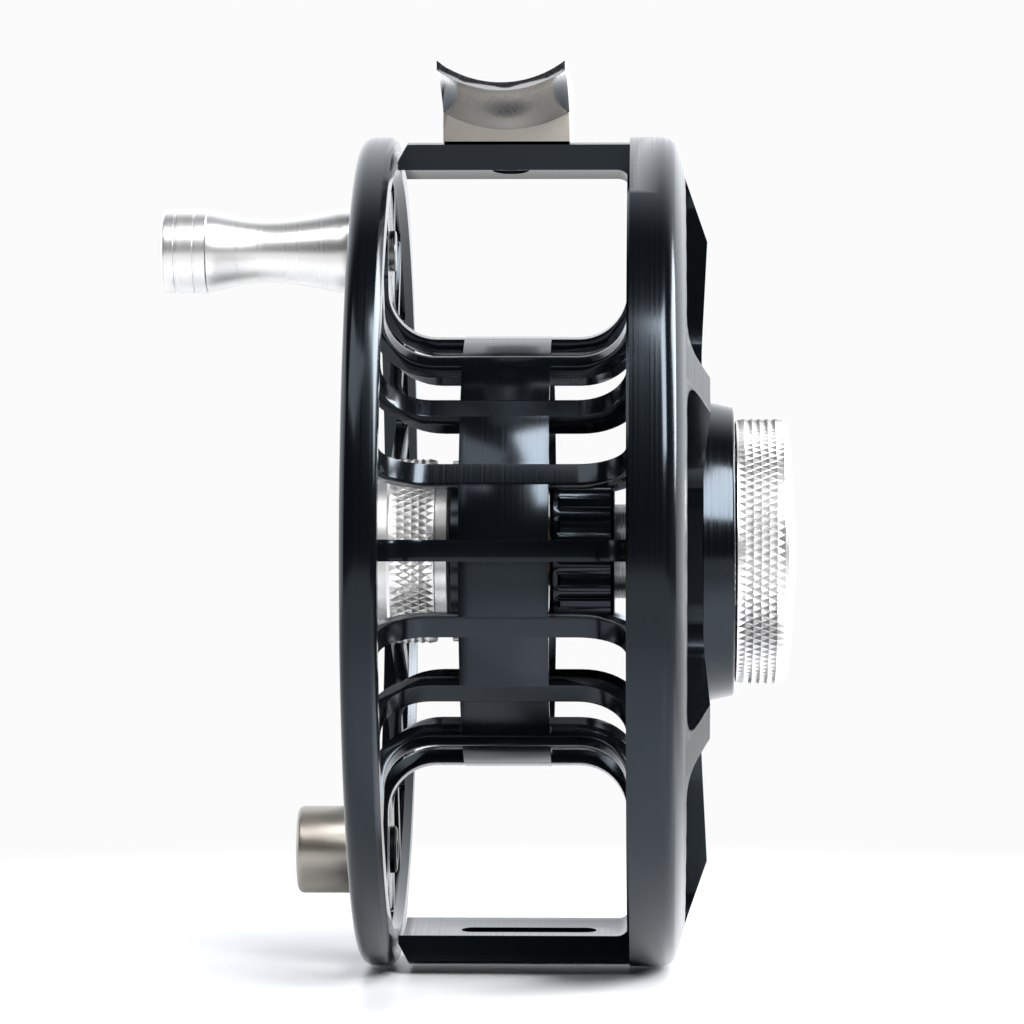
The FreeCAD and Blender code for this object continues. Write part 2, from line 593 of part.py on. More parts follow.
NODES = {
    "frame": make_frame,
    "reel_foot": make_reel_foot,
    "foot_screws": make_foot_screws,
    "spindle": make_spindle,
    "spindle_nut": make_spindle_nut,
    "knob_retainer": make_knob_retainer,
    "drag_housing": make_drag_housing,
    "drag_cover": make_drag_cover,
    "housing_screws": make_housing_screws,
    "shaft_seal": make_shaft_seal,
    "friction_disc_inner": lambda: ring(PLATE_IN_X, ROTOR_DISC_X - 0.1, DISC_IN_R, 11.5),
    "friction_disc_outer": lambda: ring(19.8, 20.6, DISC_IN_R, 11.4),
    "pressure_plate": make_pressure_plate,
    "spring_washers": make_spring_washers,
    "push_pins": make_push_pins,
    "thrust_washer": lambda: ring(26.3, 27.0, 8.4, 12.3),
    "brake_rotor": make_brake_rotor,
    "drag_hub": make_drag_hub,
    "roller_clutch": make_roller_clutch,
    "clutch_retaining_ring": lambda: ring(5.2, 5.9, 6.4, BEARING_OUT_R),
    "drag_knob": make_drag_knob,
    "knob_cap": make_knob_cap,
    "adjuster_ring": lambda: ring(27.3, KNOB_WEB_X[0], 8.1, KNOB_SKIRT_R),
    "click_balls": make_click_balls,
    "click_springs": make_click_springs,
    "spool": make_spool,
    "bearing_outer_races": lambda: bearing_races(6.8, BEARING_OUT_R),
    "bearing_retaining_ring": lambda: ring(-6.35, LEFT_BEARING_X, 7.1, BEARING_OUT_R),
    "bearing_inner_races": lambda: bearing_races(BEARING_IN_R, 5.2),
    "bearing_balls": make_bearing_balls,
    "bearing_sleeve": lambda: ring(-6.35, 4.7, SPINDLE_R + RUN, BEARING_IN_R),
    "bearing_spacer": lambda: ring(LEFT_BEARING_X + BEARING_WIDTH, RIGHT_BEARING_X, BEARING_IN_R, 5.0),
    "release_cap": make_release_cap,
    "cap_o_ring": make_cap_o_ring,
    "handle_knob": make_handle_knob,
    "handle_bushes": make_handle_bushes,
    "handle_spindle": make_handle_spindle,
    "handle_screw": make_handle_screw,
    "handle_washer": lambda: ring(-17.05, RIM_LEFT_X, HANDLE_PIN_R, 3.8, 0, KNOB_Z),
    "counterweight": make_counterweight,
    "counterweight_screw": make_counterweight_screw,
}

os.makedirs("parts", exist_ok=True)
for name, make in NODES.items():
    shape = make()
    shape.translate(V(0, 0, -SEAT_Z))
    shape.exportStep("parts/" + name + ".step")
    print(name, "valid" if shape.isValid() else "NOT VALID", len(shape.Solids), round(shape.Volume, 2))
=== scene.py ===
import json
import math

import bmesh
import bpy
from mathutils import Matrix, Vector


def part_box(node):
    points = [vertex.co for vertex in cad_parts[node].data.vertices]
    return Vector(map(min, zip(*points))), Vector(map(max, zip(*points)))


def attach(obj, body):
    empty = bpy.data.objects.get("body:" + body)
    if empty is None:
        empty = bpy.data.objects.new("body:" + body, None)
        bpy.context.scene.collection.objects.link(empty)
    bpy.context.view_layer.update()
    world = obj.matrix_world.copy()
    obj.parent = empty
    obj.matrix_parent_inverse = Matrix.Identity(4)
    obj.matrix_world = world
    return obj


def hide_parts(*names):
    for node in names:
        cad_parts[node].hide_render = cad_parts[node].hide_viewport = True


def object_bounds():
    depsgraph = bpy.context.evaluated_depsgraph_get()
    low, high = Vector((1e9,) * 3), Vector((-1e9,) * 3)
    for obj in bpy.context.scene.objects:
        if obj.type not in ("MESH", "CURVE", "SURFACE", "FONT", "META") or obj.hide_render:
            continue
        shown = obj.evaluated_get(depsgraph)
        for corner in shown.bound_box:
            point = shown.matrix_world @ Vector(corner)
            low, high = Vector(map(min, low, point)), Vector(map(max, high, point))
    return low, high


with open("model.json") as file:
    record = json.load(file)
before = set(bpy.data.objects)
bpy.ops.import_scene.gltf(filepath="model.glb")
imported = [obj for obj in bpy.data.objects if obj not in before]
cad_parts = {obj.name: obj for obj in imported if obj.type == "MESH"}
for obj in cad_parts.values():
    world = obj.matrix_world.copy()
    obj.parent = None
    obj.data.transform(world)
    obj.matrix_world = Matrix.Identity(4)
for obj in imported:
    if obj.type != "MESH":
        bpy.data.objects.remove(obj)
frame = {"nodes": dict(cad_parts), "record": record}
cad_low, cad_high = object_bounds()

# A fly reel seen edge on: handle side at -X, drag side at +X, reel foot at +Z. Lengths below are millimetres
# from the axle (r) and from the middle of the reel foot (x), and MM turns them into the frame's metres.
MM = 0.001
knob_low, knob_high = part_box("drag_knob")
AXLE_Z = (knob_low.z + knob_high.z) / 2
handle_low, handle_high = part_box("handle_knob")
HANDLE_Z = (handle_low.z + handle_high.z) / 2
weight_low, weight_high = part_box("counterweight")
WEIGHT_Z = (weight_low.z + weight_high.z) / 2
BODY_OF = {n: b for b, nodes in frame["record"]["behaviour"]["bodies"].items() for n in nodes}
SLOT_OF = {s["node"]: s["material_slot"] for s in frame["record"]["subparts"]}
ROUND = 240               # segments of the large turned pieces
ROUND_SMALL = 128         # and of the handle and the counterweight
ON_AXIS = 1e-6            # a radius below this is a point on the axle


def place_camera():
    """A long lens a little above the axle, looking at the line-gathering side of the reel."""
    camera = bpy.data.objects.new("camera", bpy.data.cameras.new("camera"))
    bpy.context.scene.collection.objects.link(camera)
    camera.data.sensor_width = 36.0
    camera.data.lens = 168.75
    camera.data.clip_end = 30.0
    eye = Vector((16.2, -551.8, 14.4)) * MM
    aim = Vector((0.3, 0.0, 4.5)) * MM
    camera.location = eye + Vector((0, 0, AXLE_Z))
    camera.rotation_euler = (aim - eye).to_track_quat("-Z", "Y").to_euler()
    bpy.context.scene.camera = camera


place_camera()


# ---------------------------------------------------------------- materials

def linear(code):
    """A colour from sRGB hex to the linear values that shaders take."""
    values = []
    for i in (1, 3, 5):
        c = int(code[i:i + 2], 16) / 255
        values.append(c / 12.92 if c <= 0.04045 else ((c + 0.055) / 1.055) ** 2.4)
    return (*values, 1.0)


def add(tree, kind, links=None, **settings):
    """Adds a node, sets its properties or input values by name, and links inputs from other sockets."""
    node = tree.nodes.new(kind)
    for key, value in settings.items():
        if hasattr(node, key):
            setattr(node, key, value)
        else:
            node.inputs[key.replace("_", " ").title()].default_value = value
    for key, socket in (links or {}).items():
        tree.links.new(socket, node.inputs[key])
    return node


def new_material(name):
    mat = bpy.data.materials.new(name)
    mat.use_nodes = True
    return mat, mat.node_tree, mat.node_tree.nodes["Principled BSDF"]


def turned_lines(tree, axis_z, spacing_mm):
    """A value that changes along and away from a turning axis and not around it: the lathe's feed lines."""
    coords = add(tree, "ShaderNodeTexCoord")
    split = add(tree, "ShaderNodeSeparateXYZ", {0: coords.outputs["Object"]})
    up = add(tree, "ShaderNodeMath", {0: split.outputs["Z"]}, operation="SUBTRACT")
    up.inputs[1].default_value = axis_z
    across = add(tree, "ShaderNodeMath", {0: split.outputs["Y"], 1: split.outputs["Y"]}, operation="MULTIPLY")
    square = add(tree, "ShaderNodeMath", {0: up.outputs[0], 1: up.outputs[0]}, operation="MULTIPLY")
    total = add(tree, "ShaderNodeMath", {0: across.outputs[0], 1: square.outputs[0]}, operation="ADD")
    radius = add(tree, "ShaderNodeMath", {0: total.outputs[0]}, operation="SQRT")
    both = add(tree, "ShaderNodeMath", {0: split.outputs["X"], 1: radius.outputs[0]}, operation="ADD")
    return add(tree, "ShaderNodeTexNoise", {"W": both.outputs[0]}, noise_dimensions="1D",
               scale=1000.0 / spacing_mm, detail=3.0, roughness=0.6)


def finish_with_lines(tree, shader, lines, height_mm, rough_low, rough_high):
    """Feeds the lines to the bump and to a narrow band of roughness."""
    bump = add(tree, "ShaderNodeBump", {"Height": lines.outputs[0]}, strength=1.0, distance=height_mm * MM)
    tree.links.new(bump.outputs[0], shader.inputs["Normal"])
    spread = add(tree, "ShaderNodeMapRange", {0: lines.outputs[0]})
    spread.inputs["From Min"].default_value = 0.3
    spread.inputs["From Max"].default_value = 0.7
    spread.inputs["To Min"].default_value = rough_low
    spread.inputs["To Max"].default_value = rough_high
    tree.links.new(spread.outputs[0], shader.inputs["Roughness"])


def cloudy_colour(tree, shader, first, second, size_mm):
    """A slow drift between two near colours, so that no large face is one flat tone."""
    coords = add(tree, "ShaderNodeTexCoord")
    noise = add(tree, "ShaderNodeTexNoise", {"Vector": coords.outputs["Object"]}, scale=1000.0 / size_mm,
                detail=4.0, roughness=0.55)
    mix = add(tree, "ShaderNodeMix", {"Factor": noise.outputs[0]}, data_type="RGBA")
    mix.inputs[6].default_value = linear(first)
    mix.inputs[7].default_value = linear(second)
    tree.links.new(mix.outputs[2], shader.inputs["Base Color"])


def black_anodised_aluminium(name, axis_z, roughness=0.16):
    """Machined aluminium, dyed black in a clear oxide layer: near black, with soft bright reflections at its
    edges and the faintest lathe lines. The eye gets a deep black that turns blue-grey towards the light."""
    mat, tree, shader = new_material(name)
    cloudy_colour(tree, shader, "#030507", "#070a0d", 14.0)
    shader.inputs["Specular Tint"].default_value = linear("#cfe0f0")
    lines = turned_lines(tree, axis_z, 0.25)
    finish_with_lines(tree, shader, lines, 0.0002, roughness - 0.03, roughness + 0.04)
    return mat


def bright_turned_aluminium(name, axis_z, code="#f6f6f5", roughness=0.3):
    """Aluminium turned on a lathe and clear anodised: white metal, satin, with feed lines round it."""
    mat, tree, shader = new_material(name)
    cloudy_colour(tree, shader, code, "#ededec", 6.0)
    shader.inputs["Metallic"].default_value = 0.9
    lines = turned_lines(tree, axis_z, 0.3)
    finish_with_lines(tree, shader, lines, 0.00005, roughness - 0.03, roughness + 0.03)
    return mat


def polished_foot_steel(name):
    """Stainless steel, belt polished along the foot: mirror-like, with fine scratches lengthways."""
    mat, tree, shader = new_material(name)
    cloudy_colour(tree, shader, "#cdced0", "#c0c2c5", 9.0)
    shader.inputs["Metallic"].default_value = 1.0
    coords = add(tree, "ShaderNodeTexCoord")
    stretch = add(tree, "ShaderNodeMapping", {0: coords.outputs["Object"]})
    stretch.inputs["Scale"].default_value = (1000 / 0.2, 1000 / 12.0, 1000 / 0.2)
    scratches = add(tree, "ShaderNodeTexNoise", {"Vector": stretch.outputs[0]}, scale=1.0, detail=4.0)
    finish_with_lines(tree, shader, scratches, 0.0008, 0.1, 0.2)
    return mat


def milled_foot_steel(name):
    """The pedestal's ends, left as milled: the same steel, but satin and a little warmer."""
    mat, tree, shader = new_material(name)
    cloudy_colour(tree, shader, "#c9c4bb", "#bdb8b0", 4.0)
    shader.inputs["Metallic"].default_value = 0.85
    coords = add(tree, "ShaderNodeTexCoord")
    grain = add(tree, "ShaderNodeTexNoise", {"Vector": coords.outputs["Object"]}, scale=1000 / 0.25,
                detail=2.0)
    finish_with_lines(tree, shader, grain, 0.0015, 0.38, 0.5)
    return mat


def satin_nickel(name, axis_z):
    """Nickel-plated brass, brushed round the axis: a warm grey with a wide soft highlight."""
    mat, tree, shader = new_material(name)
    cloudy_colour(tree, shader, "#b5afa6", "#a8a39b", 5.0)
    shader.inputs["Metallic"].default_value = 1.0
    shader.inputs["Anisotropic"].default_value = 0.35
    finish_with_lines(tree, shader, turned_lines(tree, axis_z, 0.12), 0.0018, 0.3, 0.42)
    return mat


def ground_steel(name, axis_z, first="#a9aaac", second="#97989b", roughness=0.28):
    """Ground tool steel: grey, crisp, with grinding lines."""
    mat, tree, shader = new_material(name)
    cloudy_colour(tree, shader, first, second, 4.0)
    shader.inputs["Metallic"].default_value = 1.0
    lines = turned_lines(tree, axis_z, 0.15)
    finish_with_lines(tree, shader, lines, 0.001, roughness - 0.06, roughness + 0.08)
    return mat


def moulded_rubber(name):
    """Nitrile rubber, moulded: black and matt with a fine grain."""
    mat, tree, shader = new_material(name)
    cloudy_colour(tree, shader, "#101011", "#19191a", 2.0)
    coords = add(tree, "ShaderNodeTexCoord")
    grain = add(tree, "ShaderNodeTexNoise", {"Vector": coords.outputs["Object"]}, scale=1000 / 0.15,
                detail=2.0)
    finish_with_lines(tree, shader, grain, 0.004, 0.6, 0.75)
    return mat


def woven_carbon(name):
    """Carbon-fibre brake lining: a dark twill with a resin sheen."""
    mat, tree, shader = new_material(name)
    coords = add(tree, "ShaderNodeTexCoord")
    weave = add(tree, "ShaderNodeTexChecker", {"Vector": coords.outputs["Object"]}, scale=1000 / 1.2)
    weave.inputs["Color1"].default_value = linear("#17181a")
    weave.inputs["Color2"].default_value = linear("#2a2c2f")
    tree.links.new(weave.outputs[0], shader.inputs["Base Color"])
    finish_with_lines(tree, shader, weave, 0.01, 0.35, 0.5)
    return mat


MATERIALS = {
    "black_anodised": black_anodised_aluminium("black_anodised_aluminium", AXLE_Z),
    "bright_aluminium": bright_turned_aluminium("bright_turned_aluminium", AXLE_Z),
    "foot_steel": polished_foot_steel("polished_foot_steel"),
    "satin_nickel": satin_nickel("satin_nickel", WEIGHT_Z),
    "steel": ground_steel("ground_steel", AXLE_Z),
    "dark_screw": ground_steel("blackened_screw_steel", WEIGHT_Z, "#26272a", "#1b1c1e", 0.35),
    "grey_cover": black_anodised_aluminium("matt_anodised_aluminium", AXLE_Z, 0.42),
    "bronze": ground_steel("turned_bronze", AXLE_Z, "#b48a4e", "#9c7742", 0.3),
    "seal_rubber": moulded_rubber("moulded_nitrile_rubber"),
    "friction_disc": woven_carbon("woven_carbon_lining"),
}
HANDLE_METAL = bright_turned_aluminium("handle_turned_aluminium", HANDLE_Z)
HANDLE_STEEL = ground_steel("handle_ground_steel", HANDLE_Z)


def dress_cad_nodes():
    """Gives every CAD node the material of its slot. The handle's pieces have their lines round its own axis."""
    for name, node in frame["nodes"].items():
        mat = MATERIALS[SLOT_OF[name]]
        if name.startswith("handle"):
            mat = {"bright_aluminium": HANDLE_METAL, "steel": HANDLE_STEEL}.get(SLOT_OF[name], mat)
        node.data.materials.clear()
        node.data.materials.append(mat)


dress_cad_nodes()


# ---------------------------------------------------------------- mesh tools

def mesh_object(name, bm):
    """A new object from a bmesh, with its normals outwards."""
    bmesh.ops.remove_doubles(bm, verts=bm.verts, dist=1e-7)
    bmesh.ops.recalc_face_normals(bm, faces=bm.faces)
    mesh = bpy.data.meshes.new(name)
    bm.to_mesh(mesh)
    bm.free()
    obj = bpy.data.objects.new(name, mesh)
    bpy.context.scene.collection.objects.link(obj)
    return obj


def on_axis(x, r, angle, axis_z=AXLE_Z):
    """The point at x and r, turned from +Y towards +Z about a line along X."""
    return Vector((x * MM, r * MM * math.cos(angle), axis_z + r * MM * math.sin(angle)))


def bend(cx, cr, radius, start, end, steps=8):
    """Points of an arc in the (x, r) plane; angles in degrees from +x towards +r."""
    points = []
    for i in range(steps + 1):
        a = math.radians(start + (end - start) * i / steps)
        points.append((cx + radius * math.cos(a), cr + radius * math.sin(a)))
    return points


def turned_rings(bm, profile, segments, axis_z=AXLE_Z):
    """One ring of vertices for each (x, r) point. A point on the axis has one vertex, repeated."""
    rings = []
    for x, r in profile:
        if r < ON_AXIS:
            rings.append([bm.verts.new(on_axis(x, 0, 0, axis_z))] * segments)
        else:
            turns = [math.tau * i / segments for i in range(segments)]
            rings.append([bm.verts.new(on_axis(x, r, turn, axis_z)) for turn in turns])
    return rings


def skin(bm, rings, close=False):
    """Faces between each ring of vertices and the next, and from the last to the first if close is set."""
    following = rings[1:] + rings[:1] if close else rings[1:]
    for one, two in zip(rings, following):
        for i in range(len(one)):
            k = (i + 1) % len(one)
            corners = list(dict.fromkeys([one[i], one[k], two[k], two[i]]))
            if len(corners) > 2:
                bm.faces.new(corners)


def capped_skin(bm, rings):
    """A solid with a flat face on its first and on its last ring."""
    bm.faces.new(rings[0])
    bm.faces.new(rings[-1])
    skin(bm, rings)


def lathe(name, profile, axis_z=AXLE_Z, segments=ROUND_SMALL):
    """Turns a closed profile of (x, r) points."""
    bm = bmesh.new()
    skin(bm, turned_rings(bm, profile, segments, axis_z), close=True)
    return mesh_object(name, bm)


def prism(bm, outline, x0, x1):
    """Adds a prism along X to bm and returns its end at x0. The outline is a list of (radius, angle) points."""
    near, far = [[bm.verts.new(on_axis(x, r, a)) for r, a in outline] for x in (x0, x1)]
    capped_skin(bm, [near, far])
    return near


def rod(bm, x0, x1, r, y=0.0, z=0.0, sides=48):
    """Adds a cylinder along X whose centre is y, z from the axle."""
    outline = []
    for i in range(sides):
        a = math.tau * i / sides
        py, pz = y + r * math.cos(a), z + r * math.sin(a)
        outline.append((math.hypot(py, pz), math.atan2(pz, py)))
    prism(bm, outline, x0, x1)


def pillar(bm, x, y, r, z0, z1, sides=40):
    """Adds a cylinder along Z."""
    loops = []
    for z in (z0, z1):
        loops.append([bm.verts.new((
            (x + r * math.cos(math.tau * i / sides)) * MM,
            (y + r * math.sin(math.tau * i / sides)) * MM,
            AXLE_Z + z * MM)) for i in range(sides)])
    capped_skin(bm, loops)


def cuboid(name, middle, size):
    """A box by its middle and size in millimetres, the middle's height counted from the axle."""
    bm = bmesh.new()
    bmesh.ops.create_cube(bm, size=1.0)
    for v in bm.verts:
        v.co = Vector((
            v.co.x * size[0] * MM + middle[0] * MM,
            v.co.y * size[1] * MM + middle[1] * MM,
            AXLE_Z + (middle[2] + v.co.z * size[2]) * MM))
    return mesh_object(name, bm)


def sector(r_in, r_out, first, pitch, width, corner):
    """The rounded opening between two radial bars, as (radius, angle) points. Angles in radians."""
    def side(r, far):
        lean = math.asin(width / 2 / r)
        return first + pitch - lean if far else first + lean

    steps, arc_steps = 5, 6
    points = []
    corners = ((r_in, False, 1, 1), (r_out, False, -1, 1), (r_out, True, -1, -1), (r_in, True, 1, -1))
    for r, far, dr, da in corners:
        along_side = (r + dr * corner, side(r + dr * corner, far))
        along_arc = (r, side(r, far) + da * corner / r)
        middle = (r, side(r, far))
        from_arc = (r == r_in) != far
        a, b = (along_arc, along_side) if from_arc else (along_side, along_arc)
        for i in range(steps + 1):
            t = i / steps
            points.append(tuple((1 - t) ** 2 * p + 2 * t * (1 - t) * q + t * t * s
                                for p, q, s in zip(a, middle, b)))
        if middle == (r_out, side(r_out, False)):
            start, stop = b[1], side(r_out, True) - corner / r_out
            points += [(r_out, start + (stop - start) * i / arc_steps) for i in range(1, arc_steps)]
    return points


def settle(obj):
    """Applies the modifiers into the mesh."""
    graph = bpy.context.evaluated_depsgraph_get()
    mesh = bpy.data.meshes.new_from_object(obj.evaluated_get(graph))
    obj.modifiers.clear()
    obj.data = mesh
    return obj


def combine(obj, cutter, operation="DIFFERENCE"):
    """Cuts or joins another closed mesh, which is used up."""
    step = obj.modifiers.new("combine", "BOOLEAN")
    step.operation = operation
    step.object = cutter
    step.solver = "EXACT"
    bpy.context.view_layer.update()
    settle(obj)
    bpy.data.objects.remove(cutter)
    return obj


def break_edges(obj, width_mm, degrees=28, segments=2):
    """The small machined chamfers that catch the light, then smooth shading between sharp edges."""
    step = obj.modifiers.new("edges", "BEVEL")
    step.width = width_mm * MM
    step.segments = segments
    step.limit_method = "ANGLE"
    step.angle_limit = math.radians(degrees)
    step.use_clamp_overlap = True
    step.miter_outer = "MITER_ARC"
    bpy.context.view_layer.update()
    settle(obj)
    return smooth(obj)


def smooth(obj, degrees=32):
    obj.data.polygons.foreach_set("use_smooth", [True] * len(obj.data.polygons))
    obj.data.set_sharp_from_angle(angle=math.radians(degrees))
    return obj


def stand_for(obj, node, mat=None):
    """obj takes the place of a CAD node: its body, its slot and its material."""
    obj.data.materials.clear()
    obj.data.materials.append(mat or MATERIALS[SLOT_OF[node]])
    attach(obj, BODY_OF[node])
    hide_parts(node)
    return obj


# ---------------------------------------------------------------- frame

FRAME_R = 47.5
FRAME_LEFT_X = 13.9
CAGE_R = 44.4
PLATE_BORE_R = 13.62
SPOKES = 6
SPOKE_WIDTH = 4.4
WINDOW_IN_R = 22.6
WINDOW_OUT_R = 42.9
WINDOW_CORNER = 3.8
BAR_END_X = -12.3
BAR_OUT_R = 47.3
BAR_HALF_TURN = math.radians(13.0)
BAR_FILLET = 1.5
BAR_FLAT_Z = 46.4
FOOT_SCREW_Y = 5.6
FOOT_SCREW_R = 2.1
DRAIN_SLOT_X = (-4.4, 8.7)
DRAIN_SLOT_Y = 4.7
DRAIN_SLOT_R = 1.3


def frame_blank():
    """The ring and its dished side plate, as they come off the lathe."""
    profile = [(FRAME_LEFT_X, CAGE_R), (FRAME_LEFT_X, FRAME_R)]
    profile += bend(17.3, FRAME_R - 2.1, 2.1, 90, 38, 8)
    profile += [(20.0, 43.5), (20.0, 43.2), (22.7, 35.5), (22.0, 21.9), (21.95, 18.0),
                (21.95, PLATE_BORE_R), (17.0, PLATE_BORE_R), (17.0, CAGE_R - 1.2)]
    profile += bend(15.8, CAGE_R - 1.2, 1.2, 0, 90, 5)[1:-1]
    profile += [(15.8, CAGE_R)]
    return lathe("frame_casting", profile, segments=ROUND)


def crossbar(name, middle, flat):
    """One arc-shaped bar from the ring to its bevelled free end, with a fillet where it leaves the ring."""
    steps = 20
    root_r = CAGE_R - BAR_FILLET
    outline = [(BAR_END_X, CAGE_R)] + bend(13.95 - BAR_FILLET, root_r, BAR_FILLET, 90, 0, 6)[:-1]
    outline += [(14.0, root_r), (14.5, root_r), (14.5, BAR_OUT_R), (-11.2, BAR_OUT_R), (BAR_END_X, CAGE_R + 0.9)]
    bm = bmesh.new()
    loops = []
    for i in range(steps + 1):
        a = middle - BAR_HALF_TURN + 2 * BAR_HALF_TURN * i / steps
        loops.append([bm.verts.new(on_axis(x, r, a)) for x, r in outline])
    capped_skin(bm, loops)
    bar = mesh_object(name, bm)
    if flat:
        combine(bar, cuboid("flat", (-26.12, 0, BAR_FLAT_Z + 5), (80, 60, 10)))
    return bar


def slotted_outline(x0, x1, middle_y, r, steps=12):
    """A slot with round ends along the foot's length, as (x, y) points."""
    points = []
    for x, start in ((x1, -math.pi / 2), (x0, math.pi / 2)):
        for i in range(steps + 1):
            a = start + math.pi * i / steps
            points.append((x + r * math.cos(a), middle_y + r * math.sin(a)))
    return points


def build_frame():
    casting = frame_blank()
    holes = bmesh.new()
    pitch = math.tau / SPOKES
    for i in range(SPOKES):
        first = math.radians(90) + i * pitch
        prism(holes, sector(WINDOW_IN_R, WINDOW_OUT_R, first, pitch, SPOKE_WIDTH, WINDOW_CORNER), 10, 30)
    combine(casting, mesh_object("windows", holes))
    for name, middle, flat in (("bar_top", math.pi / 2, True), ("bar_bottom", -math.pi / 2, False)):
        combine(casting, crossbar(name, middle, flat), "UNION")
    holes = bmesh.new()
    for y in (-FOOT_SCREW_Y, FOOT_SCREW_Y):
        pillar(holes, 0, y, FOOT_SCREW_R, 40.0, 45.1)
    combine(casting, mesh_object("screw_holes", holes))
    slot = bmesh.new()
    outline = slotted_outline(*DRAIN_SLOT_X, DRAIN_SLOT_Y, DRAIN_SLOT_R)
    capped_skin(slot, [[slot.verts.new((x * MM, y * MM, AXLE_Z + z * MM)) for x, y in outline]
                       for z in (-50, -42)])
    combine(casting, mesh_object("drain_slot", slot))
    break_edges(casting, 0.28)
    stand_for(casting, "frame")


# ---------------------------------------------------------------- spool

FINGERS = 18
FINGER_WIDTH = 2.4
MILLED_IN_R = 18.0        # how far in the openings between the fingers are milled
MILLED_CORNER = 1.0
BAND_X = 4.95
DRUM_R = 24.7
WALL = 1.5
WEB_X = 1.6
HUB_BORE_R = 8.0
FLANGE_X = 13.6
FLANGE_ROUND = 5.5
RIM_LEFT_X = -16.7
PAD_R = 6.8
HANDLE_PIN_R = 1.92
WEIGHT_SCREW_R = 1.52
DOG_WIDTH = 4.0
FINGER_TURN = math.radians(-1.6)  # the fingers don't line up with the handle's pad exactly


def spool_blank():
    """Rim, flanges, drum, web and hub, before the windows are milled."""
    cx, cr = FLANGE_X - FLANGE_ROUND, DRUM_R + FLANGE_ROUND
    inside_r, outside_x = DRUM_R - WALL, FLANGE_X + WALL
    profile = [(-cx, DRUM_R), (cx, DRUM_R)] + bend(cx, cr, FLANGE_ROUND, -90, 0, 12)[1:]
    profile += [(FLANGE_X, 43.9), (15.8, 43.9), (15.8, 41.6), (outside_x, 41.6)]
    profile += bend(cx, cr, FLANGE_ROUND + WALL, 0, -90, 12)
    profile += [(WEB_X, inside_r), (WEB_X, 12.4), (4.4, 12.4), (4.4, HUB_BORE_R), (-0.6, HUB_BORE_R), (-0.6, 7.3),
                (-0.95, 7.3), (-0.95, HUB_BORE_R), (-6.4, HUB_BORE_R), (-6.4, 10.4), (-WEB_X, 10.4),
                (-WEB_X, inside_r)]
    profile += bend(-cx, cr, FLANGE_ROUND + WALL, 270, 180, 12)
    profile += [(-outside_x, 43.0), (RIM_LEFT_X, 43.6)] + bend(-15.1, FRAME_R - 1.6, 1.6, 180, 90, 8)
    profile += [(-13.3, FRAME_R), (-12.7, FRAME_R - 0.6), (-12.7, 43.9), (-FLANGE_X, 43.0)]
    profile += bend(-cx, cr, FLANGE_ROUND, 180, 270, 12)[:-1]
    return lathe("spool_casting", profile, segments=ROUND)


def spool_windows(side, outer_r):
    """The eighteen milled openings of one side, with rounded corners at the drum's band."""
    bm = bmesh.new()
    pitch = math.tau / FINGERS
    straight = outer_r - MILLED_IN_R - 2 * MILLED_CORNER
    corners = []
    for i in range(FINGERS):
        outline = sector(MILLED_IN_R, outer_r, i * pitch + FINGER_TURN, pitch, FINGER_WIDTH, MILLED_CORNER)
        near = prism(bm, outline, side * BAND_X, side * 20.0)
        for one in near:
            for edge in one.link_edges:
                other = edge.other_vert(one)
                if other in near and abs((other.co - one.co).length - straight * MM) < 1.5 * MM:
                    corners.append(edge)
    bmesh.ops.bevel(bm, geom=list(set(corners)), offset=0.9 * MM, segments=4, profile=0.5, affect="EDGES")
    return mesh_object("windows", bm)


def build_spool():
    casting = spool_blank()
    combine(casting, spool_windows(1, 41.4))
    combine(casting, spool_windows(-1, 42.7))
    pads = bmesh.new()
    for z in (HANDLE_Z, WEIGHT_Z):
        rod(pads, RIM_LEFT_X, -FLANGE_X, PAD_R, 0, (z - AXLE_Z) / MM, 64)
    combine(casting, mesh_object("pads", pads), "UNION")
    dogs = bmesh.new()
    for middle in (math.pi / 2, -math.pi / 2):
        half = math.asin((DOG_WIDTH / 2 + 0.1) / 9.0)
        outline = [(7.9, middle - half), (10.1, middle - half), (10.1, middle + half), (7.9, middle + half)]
        prism(dogs, outline, 2.6, 6.0)
    combine(casting, mesh_object("dogs", dogs))
    holes = bmesh.new()
    rod(holes, -30, -5, HANDLE_PIN_R, 0, (HANDLE_Z - AXLE_Z) / MM)
    rod(holes, -30, -5, WEIGHT_SCREW_R, 0, (WEIGHT_Z - AXLE_Z) / MM)
    combine(casting, mesh_object("holes", holes))
    break_edges(casting, 0.2)
    stand_for(casting, "spool")


# ---------------------------------------------------------------- knurled pieces

KNURL_ROWS = 6
KNURL_EDGE = 0.55         # the knurl's depth at its ends, as a share of its full depth


def knurl_rows(bm, x0, x1, r, teeth, depth):
    """A diamond knurl: peaks and valley crossings alternate like a chessboard. Returns its two end rings."""
    steps, rows = 2 * teeth, KNURL_ROWS
    grid = []
    for a in range(rows + 1):
        x = x0 + (x1 - x0) * a / rows
        edge = a in (0, rows)
        low = r - (depth * KNURL_EDGE if edge else depth)
        ring = []
        for b in range(steps):
            peak = (a + b) % 2 == 0 and not edge
            ring.append(bm.verts.new(on_axis(x, r if peak else low, math.tau * b / steps)))
        grid.append(ring)
    for a in range(rows):
        for b in range(steps):
            k = (b + 1) % steps
            p, q, s, t = grid[a][b], grid[a][k], grid[a + 1][k], grid[a + 1][b]
            if (a + b) % 2 == 0:
                bm.faces.new([p, q, t])
                bm.faces.new([q, s, t])
            else:
                bm.faces.new([p, q, s])
                bm.faces.new([p, s, t])
    return grid[0], grid[-1]


def close_round(bm, start_ring, profile, end_ring):
    """Skins a turned profile between two rings that a knurl left open."""
    skin(bm, [start_ring] + turned_rings(bm, profile, len(start_ring)) + [end_ring])


